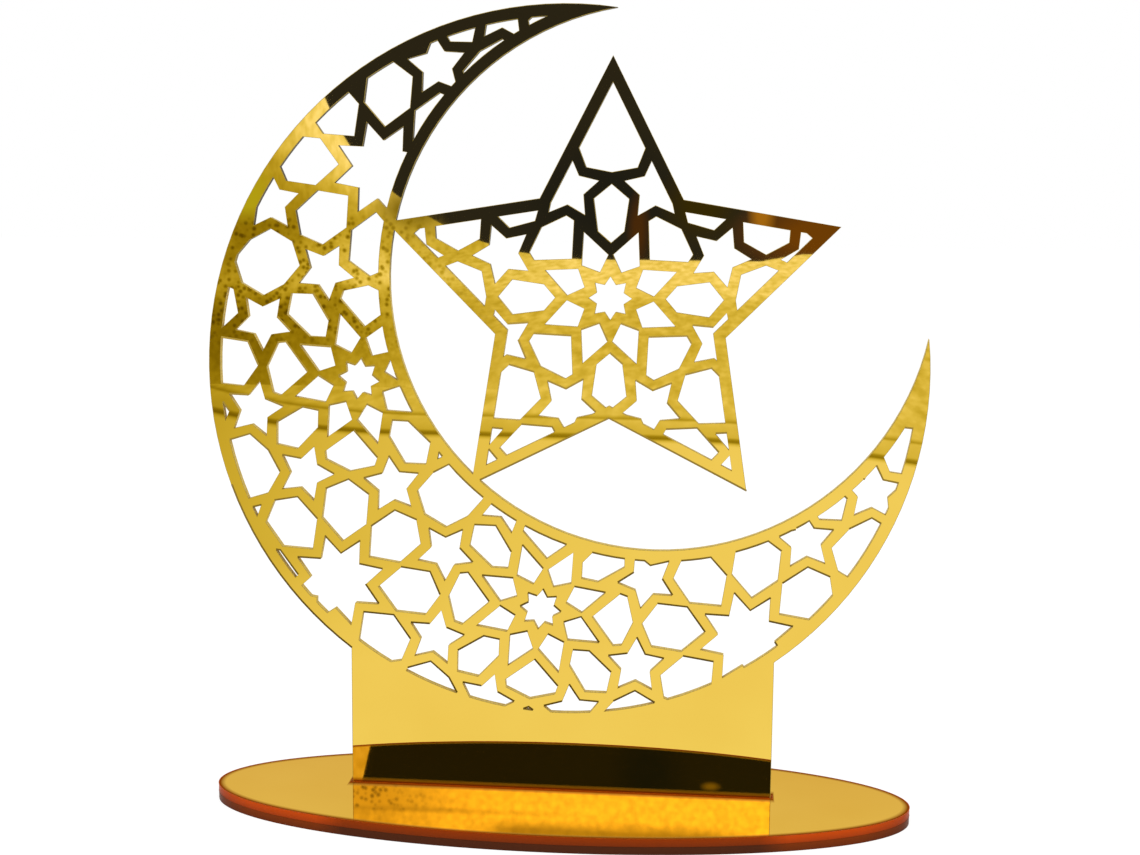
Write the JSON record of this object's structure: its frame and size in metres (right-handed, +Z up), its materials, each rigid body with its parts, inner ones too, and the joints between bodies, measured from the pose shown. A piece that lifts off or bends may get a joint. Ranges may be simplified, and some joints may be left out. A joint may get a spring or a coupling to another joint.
{
  "type": "crescent table ornament",
  "caption": "Upright fretwork crescent with a five-pointed star, pierced with a girih lattice, on a plinth that stands in a slotted oval base.",
  "frame": {"origin": "middle of the base's underside, where it rests on the table", "axes": "+Z up, +X to the viewer's right, front of the panel towards -Y"},
  "size_m": [0.18, 0.061, 0.2017],
  "materials": {
    "gold_mirror_acrylic": "polished gold mirror acrylic"
  },
  "bodies": {
    "base": {"base_bottom_plate": "gold_mirror_acrylic", "base_top_plate": "gold_mirror_acrylic"},
    "panel": {"crescent_panel": "gold_mirror_acrylic"}
  },
  "joints": [
    {"name": "panel_lift", "type": "slide", "parent": "base", "child": "panel", "axis": [0, 0, 1], "range_m": [0, 0.03]}
  ]
}
